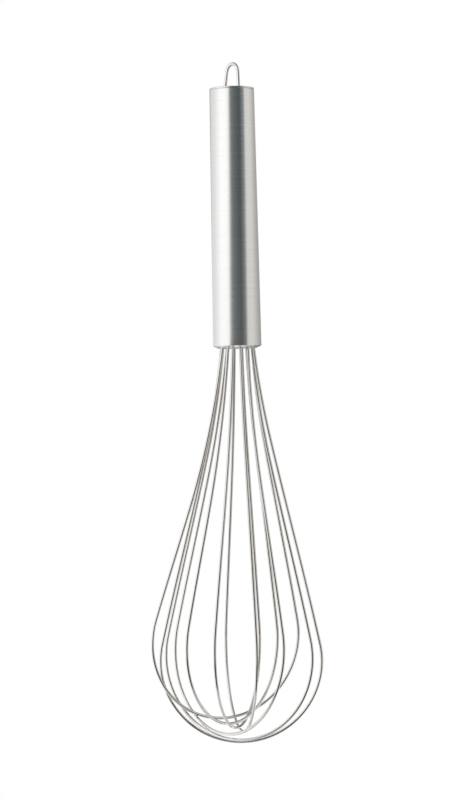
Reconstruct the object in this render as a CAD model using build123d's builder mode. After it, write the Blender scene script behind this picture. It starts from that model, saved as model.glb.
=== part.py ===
from build123d import *
import os
from math import acos, asin, atan2, cos, degrees, hypot, radians, sin, sqrt

# Balloon whisk, millimetres, hung upright: the hanging loop at the top and the wire cage below.
# The origin is where a hook bears, inside the top of the hanging loop. +Z runs up the handle's axis.
# Heights inside the handle are measured up from the lip's edge, where the strands come out.

# Wire sizes
wire_d = 1.6
eye_wire_d = 1.8

# Handle tube
handle_length = 140.0     # from the lip's edge to the cap's rim
handle_top_r = 12.0
handle_mouth_r = 13.0
tube_wall = 0.8
shoulder_r = 0.45         # rounding between the tube and its rolled-in lip
lip_height = 1.3
lip_r = 10.1              # outer edge of the lip
lip_opening_r = 9.8
lip_edge = 0.3            # bevel on the lip's edge

# End cap
cap_rim = 0.9             # rim that shows above the seam
cap_edge = 0.35           # rounding of the rim
cap_crown = 0.4
cap_skirt = 3.0
cap_skirt_wall = 0.8

# Hanging loop: two legs that close in, joined by a round bend a little to one side
eye_height = 14.0         # above the cap's rim, over the wire
eye_foot_r = 5.9          # half the distance between the legs at the cap
eye_bend_r = 4.7
eye_drift = 0.8           # sideways drift of the bend from the middle of the legs
eye_turn = -52.0          # azimuth of the loop's plane
eye_tail = 3.5            # length of each leg below the cap's rim

# Wire holder and resin seal
holder_bottom = 2.8
holder_top = 9.0
seal_top = 17.0
leg_end = 13.0            # straight wire above the lip's edge, along the wire
bond_gap = 0.02           # between bonded or pressed faces

# Wire loops, each a flat bent wire
ring_r = 8.8              # radius of the ring of strands at the lip
splay = 5.9               # degrees between a strand and the middle of its loop, at the lip
neck_bend_r = 450.0       # long gentle flare of each strand
# One row for each loop, outermost first: the azimuth of its plane, the lean of that plane out of the
# vertical, the sideways drift of its bottom bend, the radius of that bend, and the loop's length.
loop_rows = [
    (0.0, 1.9, -1.5, 43.5, 212.2),
    (-28.5, -2.2, -0.2, 44.2, 209.7),
    (-50.5, -3.8, -0.3, 44.9, 206.6),
    (-80.0, -0.4, -2.4, 43.8, 205.9),
    (73.0, 0.9, -3.0, 43.5, 203.4),
    (54.5, 1.5, -4.0, 42.8, 201.4),
    (23.5, 5.7, -3.2, 43.3, 201.1),
]

# Values that follow from the driving dimensions
rim_z = eye_wire_d - eye_height
seam_z = rim_z - cap_rim
mouth_z = rim_z - handle_length
eye_bend_h = eye_height - eye_wire_d / 2 - eye_bend_r
taper = (handle_mouth_r - handle_top_r) / (handle_length - cap_rim - lip_height)

os.makedirs("parts", exist_ok=True)


def tube_inner_r(height):
    """Inner radius of the tapered tube at a height above the lip's edge."""
    return handle_mouth_r - tube_wall - taper * (height - lip_height)


def eye_leg(side):
    """Inward lean in degrees of a leg of the hanging loop, and its length from the cap's rim to the bend."""
    across = eye_foot_r - side * eye_drift
    reach = hypot(across, eye_bend_h)
    return degrees(atan2(across, eye_bend_h) - asin(eye_bend_r / reach)), sqrt(reach**2 - eye_bend_r**2)


def eye_point(side, lean, height):
    """Point on a leg's centreline, in the plane of the hanging loop, at a distance up the leg from the cap's rim."""
    return side * (eye_foot_r - height * sin(radians(lean))), height * cos(radians(lean))


def loop_plane(azimuth, lean):
    """Plane of a wire loop: X across it, Y up it, origin in the middle of the lip's opening."""
    across = Vector(1, 0, 0).rotate(Axis.Z, azimuth)
    normal = Vector(0, -1, 0).rotate(Axis.Z, azimuth).rotate(Axis((0, 0, 0), across), lean)
    return Plane(origin=(0, 0, mouth_z), x_dir=across, z_dir=normal)


def leg_plane(plane, side):
    """Plane across a strand where it leaves the lip, facing up the strand into the handle."""
    foot = plane.from_local_coords((side * ring_r, 0))
    above = plane.from_local_coords((side * (ring_r - sin(radians(splay))), cos(radians(splay))))
    return Plane(origin=foot, z_dir=above - foot)


def straight_run(drift, bend_r, centre_depth):
    """Slope in degrees, and length, of the straight run that joins the neck bend to the bottom bend."""
    across = ring_r + neck_bend_r * cos(radians(splay)) - drift
    along = centre_depth + neck_bend_r * sin(radians(splay))
    apart = hypot(across, along)
    slope = degrees(atan2(along, across) - acos((neck_bend_r + bend_r) / apart))
    return slope, sqrt(apart**2 - (neck_bend_r + bend_r) ** 2)


# Handle tube, its lower end rolled inwards to a lip
lip_slope = lip_height / (handle_mouth_r - lip_r)
inner_corner_r = tube_inner_r(lip_height)
inner_corner_h = lip_edge + tube_wall + lip_slope * (inner_corner_r - lip_opening_r)
with BuildPart() as handle_tube:
    with BuildSketch(Plane.XZ) as tube_section:
        with BuildLine():
            Polyline(
                (lip_r, mouth_z),
                (handle_mouth_r, mouth_z + lip_height),
                (handle_top_r, seam_z),
                (handle_top_r - tube_wall, seam_z),
                (inner_corner_r, mouth_z + inner_corner_h),
                (lip_opening_r, mouth_z + lip_edge + tube_wall),
                (lip_opening_r, mouth_z + lip_edge),
                close=True,
            )
        make_face()
        fillet(tube_section.vertices().sort_by(Axis.X)[-1], shoulder_r)
    revolve(axis=Axis.Z)
handle_tube.part.label = "handle_tube"
export_step(handle_tube.part, "parts/handle_tube.step")

# Hanging loop, bent in its own plane: X across it, Y up from the cap's rim
eye_plane = Plane(
    origin=(0, 0, rim_z),
    x_dir=Vector(1, 0, 0).rotate(Axis.Z, eye_turn),
    z_dir=Vector(0, -1, 0).rotate(Axis.Z, eye_turn),
)
near_lean, near_run = eye_leg(1)
far_lean, far_run = eye_leg(-1)
with BuildPart() as hanging_loop:
    with BuildLine(eye_plane) as eye_path:
        near_leg = Line(eye_point(1, near_lean, -eye_tail), eye_point(1, near_lean, near_run))
        bend = JernArc(near_leg @ 1, near_leg % 1, eye_bend_r, 180 - near_lean - far_lean)
        Line(bend @ 1, bend @ 1 + (bend % 1) * (far_run + eye_tail))
    with BuildSketch(Plane(origin=eye_path.line @ 0, z_dir=eye_path.line % 0)):
        Circle(eye_wire_d / 2)
    sweep()
hanging_loop.part.label = "hanging_loop"
export_step(hanging_loop.part, "parts/hanging_loop.step")

# End cap, pressed into the top of the tube, with a hole for each leg of the hanging loop
skirt_r = tube_inner_r(handle_length - cap_rim) - bond_gap
with BuildPart() as end_cap:
    with BuildSketch(Plane.XZ):
        with BuildLine():
            TangentArc((0, rim_z + cap_crown), (handle_top_r - cap_edge, rim_z), tangent=(1, 0))
            RadiusArc((handle_top_r - cap_edge, rim_z), (handle_top_r, rim_z - cap_edge), cap_edge)
            Polyline(
                (handle_top_r, rim_z - cap_edge),
                (handle_top_r, seam_z),
                (skirt_r, seam_z),
                (skirt_r, seam_z - cap_skirt),
                (skirt_r - cap_skirt_wall, seam_z - cap_skirt),
                (skirt_r - cap_skirt_wall, seam_z),
                (0, seam_z),
                (0, rim_z + cap_crown),
            )
        make_face()
    revolve(axis=Axis.Z)
    for side, lean in ((1, near_lean), (-1, far_lean)):
        foot = eye_plane.from_local_coords(eye_point(side, lean, 0))
        above = eye_plane.from_local_coords(eye_point(side, lean, 1))
        with BuildSketch(Plane(origin=foot, z_dir=above - foot)):
            Circle(eye_wire_d / 2 + bond_gap)
        extrude(amount=eye_tail, both=True, mode=Mode.SUBTRACT)
end_cap.part.label = "end_cap"
export_step(end_cap.part, "parts/end_cap.step")

# Wire loops
leg_planes = []
for number, (azimuth, lean, drift, bend_r, length) in enumerate(loop_rows, start=1):
    plane = loop_plane(azimuth, lean)
    leg_planes += [leg_plane(plane, 1), leg_plane(plane, -1)]
    right_slope, right_run = straight_run(drift, bend_r, length - bend_r)
    left_slope, left_run = straight_run(-drift, bend_r, length - bend_r)
    end = (ring_r - leg_end * sin(radians(splay)), leg_end * cos(radians(splay)))
    with BuildPart() as wire_loop:
        with BuildLine(plane) as wire_path:
            right_end = Line(end, (ring_r, 0))
            right_neck = JernArc(right_end @ 1, right_end % 1, neck_bend_r, right_slope - splay)
            right_leg = Line(right_neck @ 1, right_neck @ 1 + (right_neck % 1) * right_run)
            bottom = JernArc(right_leg @ 1, right_leg % 1, bend_r, -(180 + right_slope + left_slope))
            left_leg = Line(bottom @ 1, bottom @ 1 + (bottom % 1) * left_run)
            left_neck = JernArc(left_leg @ 1, left_leg % 1, neck_bend_r, left_slope - splay)
            Line(left_neck @ 1, left_neck @ 1 + (left_neck % 1) * leg_end)
        with BuildSketch(Plane(origin=wire_path.line @ 0, z_dir=wire_path.line % 0)):
            Circle(wire_d / 2)
        sweep()
    wire_loop.part.label = f"wire_loop_{number}"
    export_step(wire_loop.part, f"parts/wire_loop_{number}.step")

# Wire holder, a plug pressed into the tube and drilled along every strand
with BuildPart() as wire_holder:
    with BuildSketch(Plane.XZ):
        with BuildLine():
            Polyline(
                (0, mouth_z + holder_bottom),
                (tube_inner_r(holder_bottom) - bond_gap, mouth_z + holder_bottom),
                (tube_inner_r(holder_top) - bond_gap, mouth_z + holder_top),
                (0, mouth_z + holder_top),
                close=True,
            )
        make_face()
    revolve(axis=Axis.Z)
    for plane in leg_planes:
        with BuildSketch(plane):
            Circle(wire_d / 2 + bond_gap)
        extrude(amount=holder_top * 1.5, mode=Mode.SUBTRACT)
wire_holder.part.label = "wire_holder"
export_step(wire_holder.part, "parts/wire_holder.step")

# Resin seal, poured on the holder around the wires' ends
with BuildPart() as potting_seal:
    with BuildSketch(Plane.XZ):
        with BuildLine():
            Polyline(
                (0, mouth_z + holder_top),
                (tube_inner_r(holder_top) - bond_gap, mouth_z + holder_top),
                (tube_inner_r(seal_top) - bond_gap, mouth_z + seal_top),
                (0, mouth_z + seal_top),
                close=True,
            )
        make_face()
    revolve(axis=Axis.Z)
    for plane in leg_planes:
        with BuildSketch(plane):
            Circle(wire_d / 2 + bond_gap)
        extrude(amount=leg_end + bond_gap, mode=Mode.SUBTRACT)
potting_seal.part.label = "potting_seal"
export_step(potting_seal.part, "parts/potting_seal.step")
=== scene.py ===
import bmesh
import bpy
import numpy as np
from math import cos, pi, radians, sin, tan
from mathutils import Matrix, Vector


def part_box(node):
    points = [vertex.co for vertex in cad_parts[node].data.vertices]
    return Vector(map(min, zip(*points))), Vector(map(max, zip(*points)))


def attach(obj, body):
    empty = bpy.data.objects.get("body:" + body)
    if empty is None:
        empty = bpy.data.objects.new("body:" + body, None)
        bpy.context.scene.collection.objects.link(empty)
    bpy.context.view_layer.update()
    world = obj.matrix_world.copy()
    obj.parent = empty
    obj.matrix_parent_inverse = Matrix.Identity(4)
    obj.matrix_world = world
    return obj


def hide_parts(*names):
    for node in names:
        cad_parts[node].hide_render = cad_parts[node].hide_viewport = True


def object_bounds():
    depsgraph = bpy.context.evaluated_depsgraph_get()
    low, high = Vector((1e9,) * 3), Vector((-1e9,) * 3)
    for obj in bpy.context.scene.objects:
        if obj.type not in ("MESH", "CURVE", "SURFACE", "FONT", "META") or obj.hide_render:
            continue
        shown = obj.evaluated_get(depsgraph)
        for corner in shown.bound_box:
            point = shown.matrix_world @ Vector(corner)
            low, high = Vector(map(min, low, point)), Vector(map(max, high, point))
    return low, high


# Balloon whisk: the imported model's wires, handle and cap made again as smooth meshes, with weld fillets,
# steel finishes, a light tent and the camera.

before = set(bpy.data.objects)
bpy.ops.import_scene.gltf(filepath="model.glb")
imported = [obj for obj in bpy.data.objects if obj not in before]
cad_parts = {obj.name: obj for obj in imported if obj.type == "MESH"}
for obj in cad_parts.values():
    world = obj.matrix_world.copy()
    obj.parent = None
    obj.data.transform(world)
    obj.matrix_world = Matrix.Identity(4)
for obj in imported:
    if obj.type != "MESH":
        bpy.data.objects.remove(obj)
cad_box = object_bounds()
scene = bpy.context.scene

# ---------------------------------------------------------------- sizes, metres

# Wires
WIRE_R = 0.0008
EYE_WIRE_R = 0.0009
WIRE_SIDES = 24
WIRE_STEP = 0.0012        # between the rings of a cage wire
EYE_STEP = 0.0005         # between the rings of the hanging loop
END_BEVEL = 0.15          # on a wire's cut ends, as a part of its radius
BEND_HUB = 0.045          # height over a loop's lowest point of a place inside its bend
EYE_HUB = 0.0063          # depth below the hanging loop's highest point of a place inside its bend
RING_GAP = 0.00025        # points of the CAD mesh that lie closer than this along a wire are one ring
FLAT_FACE = 0.99999       # cosine between face and corner normals above which a face is a flat end
CLEAR_SIDE = 0.3          # shortest cross product of two normals that still gives a direction

# Turned parts
TURNED_SIDES = 192
PROFILE_PARTS = 8         # in each rounded corner of the tube
LONGEST_QUAD = 0.004
TUBE_WALL = 0.0008
SHOULDER_LOSS = 0.003     # what the rounded shoulder takes off the mouth, as a part of the taper
LIP_OUT_R = 0.0101
LIP_WIDTH = 0.0029        # from the lip's outer edge to the tube's wall
LIP_OPENING_R = 0.0098
LIP_BEVEL = 0.0003
LIP_HEIGHT = 0.0013
LIP_ROUND = 0.00033
LIP_FINISH_AND_HIGHLIGHT_TOP = 0.0011   # height over the mouth where the rolled lip's finish and its painted highlight end
SHOULDER_R = 0.00045
INNER_CORNER = 0.0024     # height over the mouth of the corner inside the tube
INNER_ROUND = 0.0006
HIDDEN_ROUND = 0.0001
SEAM_ROUND = 0.0004
CROWN_RINGS = 10
RIM_PARTS = 6
CAP_RIM = 0.0009
CAP_EDGE = 0.00035
CAP_CROWN = 0.0004
CAP_SEAM_ROUND = 0.00025
CAP_SKIRT = 0.003
FIT_GAP = 0.00002

# Weld fillets
WELD_R = 0.00045
WELD_SINK = 0.00006       # how far a fillet reaches into the cap
WELD_START = 0.9          # where a fillet starts inside the wire, as a part of the wire's radius
WELD_SIDES = 40
WELD_PARTS = 6
WELD_SWELL = 0.10         # slow change of a fillet's size round the wire
WELD_RIPPLE = 0.05        # quick change of its size
WELD_TURN = 900           # radians for each metre, so that the two fillets differ

MOUTH_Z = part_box("handle_tube")[0][2]
SEAM_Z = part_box("handle_tube")[1][2]
TOP_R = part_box("end_cap")[1][0]
MOUTH_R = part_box("handle_tube")[1][0]
MOUTH_FULL_R = MOUTH_R + (MOUTH_R - TOP_R) * SHOULDER_LOSS
RIM_Z = SEAM_Z + CAP_RIM


# ---------------------------------------------------------------- meshes

def new_mesh(name, verts, faces, uvs=None):
    """Smooth-shaded piece of the whisk, with its faces turned outwards."""
    me = bpy.data.meshes.new(name)
    me.from_pydata([tuple(v) for v in verts], [], faces)
    if uvs is not None:
        layer = me.uv_layers.new(name="UVMap")
        layer.data.foreach_set("uv", [c for face in uvs for uv in face for c in uv])
    me.polygons.foreach_set("use_smooth", [True] * len(me.polygons))
    me.update()
    me.validate()
    obj = bpy.data.objects.new(name, me)
    scene.collection.objects.link(obj)
    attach(obj, "root")
    bm = bmesh.new()
    bm.from_mesh(me)
    bmesh.ops.recalc_face_normals(bm, faces=bm.faces)
    bm.to_mesh(me)
    bm.free()
    return obj


def wall_points(node, radius):
    """Places one radius inside the round wall of a CAD wire, and the wall's normals there."""
    me = bpy.data.objects[node].data
    count = len(me.vertices)
    at = np.empty(count * 3)
    me.vertices.foreach_get("co", at)
    at = at.reshape(-1, 3)
    corner_vert = np.array([c.vertex_index for c in me.loops])
    corner_normal = np.array([c.normal[:] for c in me.loops])
    corner_face = np.empty(len(me.loops), int)
    for p in me.polygons:
        corner_face[p.loop_start:p.loop_start + p.loop_total] = p.index
    face_normal = np.array([p.normal[:] for p in me.polygons])
    agree = np.sum(face_normal[corner_face] * corner_normal, axis=1)
    flattest = np.ones(count)
    np.minimum.at(flattest, corner_vert, agree)
    normal = np.zeros((count, 3))
    np.add.at(normal, corner_vert, corner_normal)
    normal /= np.linalg.norm(normal, axis=1)[:, None]
    wall = flattest < FLAT_FACE
    return at[wall] - radius * normal[wall], normal[wall]


def wire_rings(node, radius, hub_height):
    """Centres of a flat bent wire's rings in order along it, its direction at each, and its plane's normal.

    The order is by angle round a hub, a place inside the bend at the height given.
    """
    mid, normal = wall_points(node, radius)
    middle = mid.mean(axis=0)
    across = np.linalg.svd(mid - middle, full_matrices=False)[2][2]
    if across[1] > 0:
        across = -across
    up = np.array([0, 0, 1.0]) - across * across[2]
    up /= np.linalg.norm(up)
    side = np.cross(up, across)
    hub = middle + up * ((hub_height - middle[2]) / up[2])
    flat_x, flat_y = (mid - hub) @ side, (mid - hub) @ up
    hub = hub + side * (flat_x.max() + flat_x.min()) / 2
    flat_x = (mid - hub) @ side
    opens_up = flat_y[np.argmax(np.abs(flat_y))] > 0
    turn = np.arctan2(flat_x, -flat_y if opens_up else flat_y)

    along = np.cross(across, normal)
    length = np.linalg.norm(along, axis=1)
    good = length > CLEAR_SIDE
    mid, turn, along = mid[good], turn[good], along[good] / length[good][:, None]
    order = np.argsort(turn)
    mid, along = mid[order], along[order]

    centres, directions, start = [], [], 0
    for i in range(1, len(mid) + 1):
        if i == len(mid) or np.linalg.norm(mid[i] - mid[start]) > RING_GAP:
            ring = along[start:i]
            ring = (ring * np.sign(ring @ ring[0])[:, None]).mean(axis=0)
            centres.append(mid[start:i].mean(axis=0))
            directions.append(ring / np.linalg.norm(ring))
            start = i
    for i, direction in enumerate(directions):
        ahead = centres[min(i + 1, len(centres) - 1)] - centres[max(i - 1, 0)]
        if direction @ ahead < 0:
            directions[i] = -direction
    return centres, directions, across


def smooth_path(centres, directions, step):
    """Points and directions about a step apart, on the cubic curve through the centres."""
    path, path_directions = [centres[0]], [directions[0]]
    for p0, p1, d0, d1 in zip(centres, centres[1:], directions, directions[1:]):
        gap = np.linalg.norm(p1 - p0)
        m0, m1 = d0 * gap, d1 * gap
        parts = max(1, int(round(gap / step)))
        for k in range(1, parts + 1):
            s = k / parts
            place = (2 * s**3 - 3 * s**2 + 1, s**3 - 2 * s**2 + s, 3 * s**2 - 2 * s**3, s**3 - s**2)
            slope = (6 * s**2 - 6 * s, 3 * s**2 - 4 * s + 1, 6 * s - 6 * s**2, 3 * s**2 - 2 * s)
            path.append(place[0] * p0 + place[1] * m0 + place[2] * p1 + place[3] * m1)
            d = slope[0] * p0 + slope[1] * m0 + slope[2] * p1 + slope[3] * m1
            path_directions.append(d / np.linalg.norm(d))
    return np.array(path), np.array(path_directions)


def swept_wire(name, path, directions, across, radius):
    """Round wire along a flat path, with bevelled ends and with UVs round it and along it in metres."""
    travel = np.concatenate([[0], np.cumsum(np.linalg.norm(np.diff(path, axis=0), axis=1))])
    bevel = radius * END_BEVEL
    rings = [(path[0], directions[0], radius - bevel, 0.0)]
    rings.append((path[0] + directions[0] * bevel, directions[0], radius, bevel))
    rings += [(p, t, radius, s) for p, t, s in zip(path[1:-1], directions[1:-1], travel[1:-1])]
    rings.append((path[-1] - directions[-1] * bevel, directions[-1], radius, travel[-1] - bevel))
    rings.append((path[-1], directions[-1], radius - bevel, travel[-1]))
    verts, faces, uvs = [], [], []
    for p, t, r, s in rings:
        out = np.cross(t, across)
        for k in range(WIRE_SIDES):
            a = 2 * pi * k / WIRE_SIDES
            verts.append(p + r * (cos(a) * across + sin(a) * out))
    for i in range(len(rings) - 1):
        here, ahead = i * WIRE_SIDES, (i + 1) * WIRE_SIDES
        v0, v1 = rings[i][3], rings[i + 1][3]
        for k in range(WIRE_SIDES):
            n = (k + 1) % WIRE_SIDES
            faces.append((here + k, here + n, ahead + n, ahead + k))
            u0, u1 = k / WIRE_SIDES, (k + 1) / WIRE_SIDES
            uvs.append(((u0, v0), (u1, v0), (u1, v1), (u0, v1)))
    last = (len(rings) - 1) * WIRE_SIDES
    faces += [tuple(reversed(range(WIRE_SIDES))), tuple(range(last, last + WIRE_SIDES))]
    uvs += [[(0.0, 0.0)] * WIRE_SIDES, [(0.0, travel[-1])] * WIRE_SIDES]
    return new_mesh(name, verts, faces, uvs)


def turned_shell(name, profile):
    """Shell turned round the axis from a closed profile of (radius, height) points."""
    travel = [0.0]
    for a, b in zip(profile, profile[1:] + profile[:1]):
        travel.append(travel[-1] + ((a[0] - b[0]) ** 2 + (a[1] - b[1]) ** 2) ** 0.5)
    verts, faces, uvs = [], [], []
    for k in range(TURNED_SIDES):
        a = 2 * pi * k / TURNED_SIDES
        verts += [(r * cos(a), r * sin(a), z) for r, z in profile]
    count = len(profile)
    for k in range(TURNED_SIDES):
        here, ahead = k * count, (k + 1) % TURNED_SIDES * count
        u0, u1 = k / TURNED_SIDES, (k + 1) / TURNED_SIDES
        for i in range(count):
            j = (i + 1) % count
            faces.append((here + i, ahead + i, ahead + j, here + j))
            v0, v1 = travel[i], travel[i + 1]
            uvs.append(((u0, v0), (u1, v0), (u1, v1), (u0, v1)))
    return new_mesh(name, verts, faces, uvs)


def turned_solid(name, profile):
    """Solid turned round the axis from a profile that starts and ends on it."""
    verts = [(0, 0, profile[0][1])]
    for k in range(TURNED_SIDES):
        a = 2 * pi * k / TURNED_SIDES
        verts += [(r * cos(a), r * sin(a), z) for r, z in profile[1:-1]]
    verts.append((0, 0, profile[-1][1]))
    count, last = len(profile) - 2, len(verts) - 1
    faces = []
    for k in range(TURNED_SIDES):
        here, ahead = 1 + k * count, 1 + (k + 1) % TURNED_SIDES * count
        faces.append((0, here, ahead))
        faces += [(here + i, here + i + 1, ahead + i + 1, ahead + i) for i in range(count - 1)]
        faces.append((here + count - 1, last, ahead + count - 1))
    return new_mesh(name, verts, faces)


def rounded(points, radii):
    """Closed profile with each corner rounded by its own radius."""
    made = []
    for i, radius in enumerate(radii):
        here = Vector(points[i])
        before = Vector(points[i - 1])
        after = Vector(points[(i + 1) % len(points)])
        to_before = (before - here).normalized()
        to_after = (after - here).normalized()
        half = to_before.angle(to_after) / 2
        reach = radius / tan(half)
        hub = here + (to_before + to_after).normalized() * (radius / sin(half))
        first = here + to_before * reach - hub
        last = here + to_after * reach - hub
        sweep = first.angle(last)
        for k in range(PROFILE_PARTS + 1):
            s = k / PROFILE_PARTS
            made.append(tuple(hub + (first * sin((1 - s) * sweep) + last * sin(s * sweep)) / sin(sweep)))
    return made


def split_runs(profile):
    """Closed profile with its long stretches divided."""
    made = []
    for a, b in zip(profile, profile[1:] + profile[:1]):
        a, b = Vector(a), Vector(b)
        parts = max(1, int((b - a).length / LONGEST_QUAD))
        made += [tuple(a.lerp(b, k / parts)) for k in range(parts)]
    return made


def crown_height(x, y):
    """Height of the cap's top at a point."""
    return RIM_Z + CAP_CROWN * (1 - (x * x + y * y) / (TOP_R - CAP_EDGE) ** 2)


def make_handle():
    """Tapered tube with its lower end rolled in to a lip, and its cut edges rounded."""
    lip_slope = LIP_HEIGHT / LIP_WIDTH
    corners = [
        (MOUTH_FULL_R, MOUTH_Z + LIP_HEIGHT),
        (TOP_R, SEAM_Z),
        (TOP_R - TUBE_WALL, SEAM_Z),
        (MOUTH_FULL_R - TUBE_WALL, MOUTH_Z + INNER_CORNER),
        (LIP_OPENING_R, MOUTH_Z + LIP_BEVEL + TUBE_WALL),
        (LIP_OPENING_R, MOUTH_Z - lip_slope * (LIP_OUT_R - LIP_OPENING_R)),
    ]
    radii = [SHOULDER_R, SEAM_ROUND, HIDDEN_ROUND, INNER_ROUND, HIDDEN_ROUND, LIP_ROUND]
    return turned_shell("handle_shell", split_runs(rounded(corners, radii)))


def make_cap():
    """Crowned disc with a rounded rim, a rounded edge at the seam and a skirt inside the tube."""
    quarter = [pi / 2 * i / RIM_PARTS for i in range(RIM_PARTS + 1)]
    flat_r = TOP_R - CAP_EDGE
    crown_radii = [flat_r * i / CROWN_RINGS for i in range(CROWN_RINGS)]
    crown = [(r, crown_height(r, 0)) for r in crown_radii]
    rim = [(flat_r + CAP_EDGE * sin(a), RIM_Z - CAP_EDGE + CAP_EDGE * cos(a)) for a in quarter]
    foot_r, foot_z = TOP_R - CAP_SEAM_ROUND, SEAM_Z + CAP_SEAM_ROUND
    foot = [(foot_r + CAP_SEAM_ROUND * cos(a), foot_z - CAP_SEAM_ROUND * sin(a)) for a in quarter]
    skirt_r = TOP_R - TUBE_WALL - FIT_GAP
    inside = [
        (skirt_r, SEAM_Z),
        (skirt_r, SEAM_Z - CAP_SKIRT),
        (skirt_r - TUBE_WALL, SEAM_Z - CAP_SKIRT),
        (skirt_r - TUBE_WALL, SEAM_Z),
        (0.0, SEAM_Z),
    ]
    return turned_solid("cap_shell", crown + rim + foot + inside)


def make_weld(name, point, direction):
    """Hollow-sided fillet of weld metal round a leg of the hanging loop, where it enters the cap."""
    lean = Vector(direction) / direction[2]
    foot = Vector(point)
    for _ in range(3):
        foot = foot + lean * (crown_height(foot.x, foot.y) - foot.z)
    verts, faces = [], []
    for k in range(WELD_SIDES):
        a = 2 * pi * k / WELD_SIDES
        size = WELD_R * (1 + WELD_SWELL * sin(2 * a + foot.x * WELD_TURN) + WELD_RIPPLE * sin(5 * a))
        profile = []
        for i in range(WELD_PARTS + 1):
            turn = pi + pi / 2 * i / WELD_PARTS
            profile.append((EYE_WIRE_R + size * (1 + cos(turn)), size * (1 + sin(turn))))
        profile.append((EYE_WIRE_R + size, -WELD_SINK))
        profile.append((EYE_WIRE_R * WELD_START, -WELD_SINK))
        profile.append((EYE_WIRE_R * WELD_START, size))
        for r, h in profile:
            x = foot.x + lean.x * h + r * cos(a)
            y = foot.y + lean.y * h + r * sin(a)
            verts.append((x, y, crown_height(x, y) + h))
    count = WELD_PARTS + 4
    for k in range(WELD_SIDES):
        here, ahead = k * count, (k + 1) % WELD_SIDES * count
        for i in range(count):
            j = (i + 1) % count
            faces.append((here + i, ahead + i, ahead + j, here + j))
    return new_mesh(name, verts, faces)


handle = make_handle()
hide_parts("handle_tube")

cap = make_cap()
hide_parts("end_cap")

wires = []
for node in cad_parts:
    if node.startswith("wire_loop_"):
        centres, directions, across = wire_rings(node, WIRE_R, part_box(node)[0][2] + BEND_HUB)
        path, directions = smooth_path(centres, directions, WIRE_STEP)
        wire = swept_wire(node.replace("loop", "bend"), path, directions, across, WIRE_R)
        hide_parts(node)
        wires.append(wire)

centres, directions, across = wire_rings("hanging_loop", EYE_WIRE_R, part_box("hanging_loop")[1][2] - EYE_HUB)
path, directions = smooth_path(centres, directions, EYE_STEP)
eye = swept_wire("hanging_eye_wire", path, directions, across, EYE_WIRE_R)
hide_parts("hanging_loop")

welds = [make_weld("eye_weld_1", path[0], directions[0]), make_weld("eye_weld_2", path[-1], directions[-1])]


# ---------------------------------------------------------------- materials

BRUSH_TURN = 0.25                # quarter turn that sets the gloss along the brush lines
BRUSH_BUMP = (0.03, 0.00001)     # strength and depth in metres
MOULD_BUMP = (0.4, 0.00005)
MOULD_GRAIN = 1800.0
NOISE_LOW, NOISE_HIGH = 0.3, 0.7


def add(tree, kind, inputs, **settings):
    """New node, with its settings made first and then its inputs set or linked."""
    node = tree.nodes.new(kind)
    for name, value in settings.items():
        setattr(node, name, value)
    feed(tree, node, inputs)
    return node


def feed(tree, node, inputs):
    """Sets each input of a node to a value, or links it to another node's output."""
    for name, value in inputs.items():
        if isinstance(value, bpy.types.NodeSocket):
            tree.links.new(value, node.inputs[name])
        else:
            node.inputs[name].default_value = value


def material(name, inputs):
    """New material, its node tree and its shader."""
    mat = bpy.data.materials.new(name)
    mat.use_nodes = True
    shader = mat.node_tree.nodes["Principled BSDF"]
    feed(mat.node_tree, shader, inputs)
    return mat, mat.node_tree, shader


def scaled(colour, by):
    return (*[min(1, c * by) for c in colour], 1)


def noise(tree, source, stretch, detail, roughness=0.5):
    """Noise over object or UV coordinates that are stretched first."""
    coord = add(tree, "ShaderNodeTexCoord", {})
    mapped = add(tree, "ShaderNodeMapping", {"Vector": coord.outputs[source], "Scale": stretch})
    inputs = {"Vector": mapped.outputs["Vector"], "Scale": 1.0, "Detail": detail, "Roughness": roughness}
    return add(tree, "ShaderNodeTexNoise", inputs).outputs["Fac"]


def mapped_range(tree, value, start, stop, low, high, **settings):
    """Value carried from one range to another."""
    inputs = {"Value": value, "From Min": start, "From Max": stop, "To Min": low, "To Max": high}
    return add(tree, "ShaderNodeMapRange", inputs, **settings).outputs["Result"]


def mixed(tree, factor, first, second):
    """Mix of two colours."""
    inputs = {"Factor": factor, "A": first, "B": second}
    return add(tree, "ShaderNodeMix", inputs, data_type="RGBA").outputs["Result"]


def bumped(tree, height, bump):
    strength, depth = bump
    inputs = {"Height": height, "Strength": strength, "Distance": depth}
    return add(tree, "ShaderNodeBump", inputs).outputs["Normal"]


def brushed(name, colour, contrast, roughness, spread, anisotropic, line_scale):
    """Brushed steel with lines that run round the axis."""
    look = {"Metallic": 1.0, "Anisotropic": anisotropic, "Anisotropic Rotation": BRUSH_TURN}
    mat, tree, shader = material(name, look)
    round_axis = add(tree, "ShaderNodeTangent", {}, direction_type="RADIAL", axis="Z")
    lines = noise(tree, "Object", line_scale, 4.0, 0.6)
    low, high = roughness - spread, roughness + spread
    feed(tree, shader, {
        "Tangent": round_axis.outputs["Tangent"],
        "Roughness": mapped_range(tree, lines, NOISE_LOW, NOISE_HIGH, low, high),
        "Base Color": mixed(tree, lines, scaled(colour, 1 - contrast), scaled(colour, 1 + contrast)),
        "Normal": bumped(tree, lines, BRUSH_BUMP),
    })
    return mat


def drawn_wire(name, colour, roughness):
    """Bright wire with fine streaks along it."""
    mat, tree, shader = material(name, {"Metallic": 1.0})
    lines = noise(tree, "UV", (40, 120, 1), 3.0)
    feed(tree, shader, {
        "Roughness": mapped_range(tree, lines, NOISE_LOW, NOISE_HIGH, roughness * 0.8, roughness * 1.3),
        "Base Color": mixed(tree, lines, scaled(colour, 0.93), scaled(colour, 1.04)),
    })
    return mat


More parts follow.
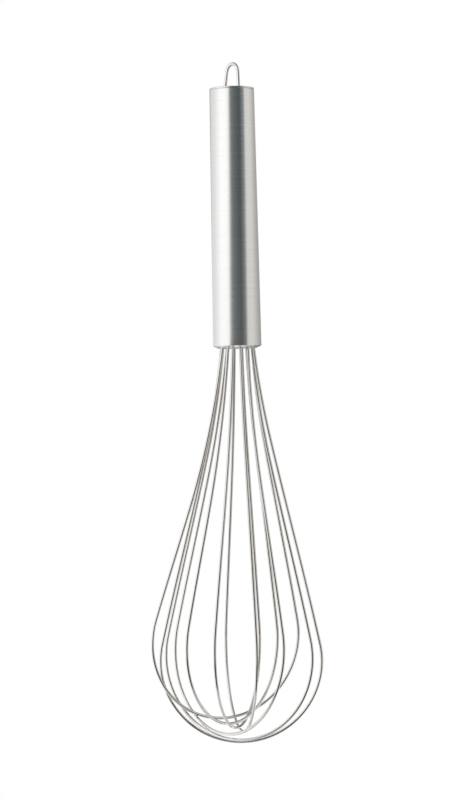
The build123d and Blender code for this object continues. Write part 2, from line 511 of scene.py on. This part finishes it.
def moulded(name, colour, roughness, coat):
    """Plastic or resin with a fine grain."""
    mat, tree, shader = material(name, {"Coat Weight": coat})
    grain = noise(tree, "Object", (MOULD_GRAIN,) * 3, 4.0)
    feed(tree, shader, {
        "Roughness": mapped_range(tree, grain, 0.0, 1.0, roughness * 0.8, roughness * 1.2),
        "Base Color": mixed(tree, grain, scaled(colour, 0.85), scaled(colour, 1.1)),
        "Normal": bumped(tree, grain, MOULD_BUMP),
    })
    return mat


def dress(obj, *mats):
    """Gives a new piece its materials."""
    for mat in mats:
        obj.data.materials.append(mat)


def dress_cad(node, mat):
    """Gives a CAD node its material, without changing its mesh."""
    for slot in bpy.data.objects[node].material_slots:
        slot.material = mat


handle_steel = brushed("handle_brushed", (0.72, 0.72, 0.71), 0.12, 0.23, 0.05, 0.9, (40, 40, 3500))
cap_steel = brushed("cap_brushed", (0.70, 0.70, 0.69), 0.06, 0.24, 0.05, 0.8, (300, 300, 3000))
# The rolled lip's smoother finish, with a base colour lighter than the handle's that paints the lip's white
# highlight
lip_steel_and_highlight = brushed("lip_rolled_and_highlight", (0.86, 0.86, 0.85), 0.03, 0.34, 0.04, 0.0, (300, 300, 3000))
weld_steel = brushed("weld_steel", (0.62, 0.61, 0.59), 0.10, 0.30, 0.08, 0.0, (1500, 1500, 1500))
wire_steel = drawn_wire("wire_drawn", (0.70, 0.685, 0.665), 0.10)
eye_steel = drawn_wire("eye_drawn", (0.74, 0.74, 0.73), 0.14)
dress(handle, handle_steel, lip_steel_and_highlight)
# The faces of the rolled lip take that steel, so the painted highlight covers the lip up to its finish's top
for face in handle.data.polygons:
    face.material_index = int(face.center[2] < MOUTH_Z + LIP_FINISH_AND_HIGHLIGHT_TOP)
dress(cap, cap_steel)
dress(eye, eye_steel)
for weld in welds:
    dress(weld, weld_steel)
for wire in wires:
    dress(wire, wire_steel)
dress_cad("wire_holder", moulded("holder_moulded", (0.62, 0.62, 0.60), 0.45, 0.0))
dress_cad("potting_seal", moulded("seal_cast", (0.55, 0.53, 0.48), 0.25, 0.5))


# ---------------------------------------------------------------- studio

FLOOR_DROP = 2.8                          # under the cage, so that it hides nothing from a low camera
FLOOR_R = 6.0
FLOOR_SIDES = 96
FLOOR_GLOW = 0.40                         # the floor's light on the steel, where 1 is what the camera sees
CEILING = 0.30                            # the light on the steel from above and beyond the tent
TENT_DROP = 0.22
TENT_R = 0.22
TENT_TOP = 0.26
TENT_SIDES = 128
TENT_STRENGTH = 1.55
SLANT_FROM, SLANT_TO = -0.15, 0.01        # heights between which the tent's panels lean
SLANT = 18.0                              # degrees that they lean by over that height
SOFTEN_FROM, SOFTEN_TO = -0.07, -0.15     # heights between which the upper panels lose some contrast
SOFTEN = 0.10
SOFTEN_GREY = (0.42, 0.42, 0.42, 1)
CAGE_FROM, CAGE_TO = -0.157, -0.178       # heights between which the lower panels take over
BASE_FROM, BASE_TO = -0.35, -0.385        # heights between which the panels under the cage take over

# Brightness round the tent by azimuth in degrees, 0 behind the camera and positive to the right: the panels
# at the handle's height, the lower ones round the cage, and those under it
UPPER_PANELS = [
    (-180, (0.12, 0.125, 0.13)), (-168, (0.12, 0.125, 0.13)), (-162, (0.45, 0.45, 0.46)),
    (-140, (0.60, 0.60, 0.605)), (-114, (0.655, 0.655, 0.66)), (-98, (0.74, 0.74, 0.745)),
    (-70, (0.90, 0.90, 0.90)), (-36, (0.88, 0.88, 0.88)), (-27, (0.72, 0.72, 0.73)),
    (-20, (0.20, 0.21, 0.215)), (-8, (0.125, 0.135, 0.14)), (8, (0.085, 0.095, 0.10)),
    (26, (0.055, 0.065, 0.07)), (33, (0.055, 0.065, 0.07)), (35, (0.11, 0.12, 0.125)),
    (50, (0.165, 0.17, 0.17)), (58, (0.56, 0.55, 0.535)), (85, (0.58, 0.565, 0.545)),
    (110, (0.44, 0.43, 0.415)), (131, (0.33, 0.32, 0.31)), (162, (0.28, 0.275, 0.27)),
    (168, (0.12, 0.125, 0.13)), (180, (0.12, 0.125, 0.13)),
]
LOWER_PANELS = [
    (-180, (0.08, 0.08, 0.08)), (-158, (0.10, 0.10, 0.10)), (-150, (0.60, 0.60, 0.605)),
    (-98, (0.75, 0.75, 0.755)), (-70, (0.88, 0.88, 0.88)), (-32, (0.80, 0.80, 0.80)),
    (-22, (0.10, 0.097, 0.092)), (0, (0.055, 0.052, 0.047)), (50, (0.055, 0.052, 0.047)),
    (62, (0.55, 0.54, 0.52)), (110, (0.50, 0.49, 0.475)), (140, (0.42, 0.41, 0.40)),
    (150, (0.08, 0.08, 0.08)), (180, (0.08, 0.08, 0.08)),
]
BASE_PANELS = [
    (-180, (0.78, 0.78, 0.78)), (-100, (0.78, 0.78, 0.78)), (-48, (0.70, 0.70, 0.70)),
    (-36, (0.08, 0.077, 0.072)), (0, (0.050, 0.047, 0.042)), (56, (0.050, 0.047, 0.042)),
    (68, (0.45, 0.44, 0.42)), (100, (0.72, 0.72, 0.72)), (180, (0.78, 0.78, 0.78)),
]


def stage_mesh(name, verts, faces, mat):
    me = bpy.data.meshes.new(name)
    me.from_pydata(verts, [], faces)
    me.materials.append(mat)
    obj = bpy.data.objects.new(name, me)
    scene.collection.objects.link(obj)
    return obj


def circle(radius, height, sides):
    turns = [2 * pi * k / sides for k in range(sides)]
    return [(radius * cos(a), radius * sin(a), height) for a in turns]


def calculated(tree, operation, *values):
    """Result of a maths node, whose inputs all have one name."""
    return add(tree, "ShaderNodeMath", dict(enumerate(values)), operation=operation).outputs["Value"]


def panels(tree, place, rows):
    """Colour at a place round the tent, from 0 to 1, where each row is a panel's edge."""
    ramp = add(tree, "ShaderNodeValToRGB", {"Fac": place})
    stops = ramp.color_ramp.elements
    while len(stops) > 1:
        stops.remove(stops[-1])
    for i, (degrees, colour) in enumerate(rows):
        stop = stops[0] if i == 0 else stops.new((degrees + 180) / 360)
        stop.position = (degrees + 180) / 360
        stop.color = (*colour, 1)
    return ramp.outputs["Color"]


def tent_material():
    """Light that changes with the azimuth and the height."""
    mat = bpy.data.materials.new("tent_light")
    mat.use_nodes = True
    tree = mat.node_tree
    tree.nodes.clear()
    coord = add(tree, "ShaderNodeTexCoord", {})
    axes = add(tree, "ShaderNodeSeparateXYZ", {"Vector": coord.outputs["Object"]}).outputs
    azimuth = calculated(tree, "ARCTAN2", axes["X"], calculated(tree, "MULTIPLY", axes["Y"], -1.0))
    lean = mapped_range(tree, axes["Z"], SLANT_FROM, SLANT_TO, 0.5 + SLANT / 720, 0.5 - SLANT / 720)
    place = calculated(tree, "MULTIPLY_ADD", azimuth, 1 / (2 * pi), lean)

    def from_height(start, stop, most):
        return mapped_range(tree, axes["Z"], start, stop, 0.0, most, interpolation_type="SMOOTHSTEP")

    light = panels(tree, place, UPPER_PANELS)
    light = mixed(tree, from_height(SOFTEN_FROM, SOFTEN_TO, SOFTEN), light, SOFTEN_GREY)
    light = mixed(tree, from_height(CAGE_FROM, CAGE_TO, 1.0), light, panels(tree, place, LOWER_PANELS))
    light = mixed(tree, from_height(BASE_FROM, BASE_TO, 1.0), light, panels(tree, place, BASE_PANELS))
    glow = add(tree, "ShaderNodeEmission", {"Color": light, "Strength": TENT_STRENGTH})
    add(tree, "ShaderNodeOutputMaterial", {"Surface": glow.outputs["Emission"]})
    return mat


def floor_material():
    """White that glows less on the steel than towards the camera."""
    mat, tree, shader = material("floor_white", {
        "Base Color": (0.93, 0.93, 0.93, 1),
        "Roughness": 0.9,
        "Specular IOR Level": 0.0,
        "Emission Color": (1, 1, 1, 1),
    })
    ray = add(tree, "ShaderNodeLightPath", {})
    glow = mapped_range(tree, ray.outputs["Is Camera Ray"], 0.0, 1.0, FLOOR_GLOW, 1.0)
    feed(tree, shader, {"Emission Strength": glow})
    return mat


def studio_world():
    """World that is white to the camera and dimmer on the steel."""
    world = bpy.data.worlds.new("studio")
    world.use_nodes = True
    tree = world.node_tree
    tree.nodes.clear()
    ray = add(tree, "ShaderNodeLightPath", {})
    lit = add(tree, "ShaderNodeBackground", {"Color": (CEILING, CEILING, CEILING, 1)})
    plain = add(tree, "ShaderNodeBackground", {"Color": (1, 1, 1, 1)})
    inputs = {0: ray.outputs["Is Camera Ray"], 1: lit.outputs["Background"], 2: plain.outputs["Background"]}
    pick = add(tree, "ShaderNodeMixShader", inputs)
    add(tree, "ShaderNodeOutputWorld", {"Surface": pick.outputs["Shader"]})
    return world


# A white tent round the whisk, open at the top, that only the steel sees
tent_verts = circle(TENT_R, cad_box[0][2] - TENT_DROP, TENT_SIDES) + circle(TENT_R, TENT_TOP, TENT_SIDES)
tent_faces = []
for k in range(TENT_SIDES):
    n = (k + 1) % TENT_SIDES
    tent_faces.append((k, n, TENT_SIDES + n, TENT_SIDES + k))
tent = stage_mesh("studio_tent", tent_verts, tent_faces, tent_material())
tent.visible_camera = False
tent.visible_shadow = False

floor_verts = circle(FLOOR_R, cad_box[0][2] - FLOOR_DROP, FLOOR_SIDES)
stage_mesh("studio_floor", floor_verts, [tuple(range(FLOOR_SIDES))], floor_material())

scene.world = studio_world()
scene.view_settings.view_transform = "Standard"
scene.view_settings.look = "None"


# ---------------------------------------------------------------- camera

CAMERA_DISTANCE = 1.489
CAMERA_LEFT = 0.0238
CAMERA_BELOW_MOUTH = 0.0439
CAMERA_ROLL = radians(1.24)
CAMERA_LENS = 124.65              # mm, on a sensor 36 mm high
AIM_RIGHT = tan(radians(0.65))
AIM_UP = tan(radians(0.62))

right = Vector((cos(CAMERA_ROLL), 0, -sin(CAMERA_ROLL)))
up = Vector((sin(CAMERA_ROLL), 0, cos(CAMERA_ROLL)))
away = Vector((0, 1, 0))
look = (away + right * AIM_RIGHT + up * AIM_UP).normalized()
look_right = look.cross(up).normalized()
look_up = look_right.cross(look)

camera = bpy.data.objects.new("camera", bpy.data.cameras.new("camera"))
scene.collection.objects.link(camera)
camera.data.sensor_width = 36.0
camera.data.lens = CAMERA_LENS
camera.data.clip_start = 0.05
camera.data.clip_end = 50
mouth = Vector((0, 0, MOUTH_Z))
camera.location = mouth - right * CAMERA_LEFT - up * CAMERA_BELOW_MOUTH - away * CAMERA_DISTANCE
camera.rotation_mode = "QUATERNION"
camera.rotation_quaternion = Matrix((look_right, look_up, -look)).transposed().to_quaternion()
scene.camera = camera
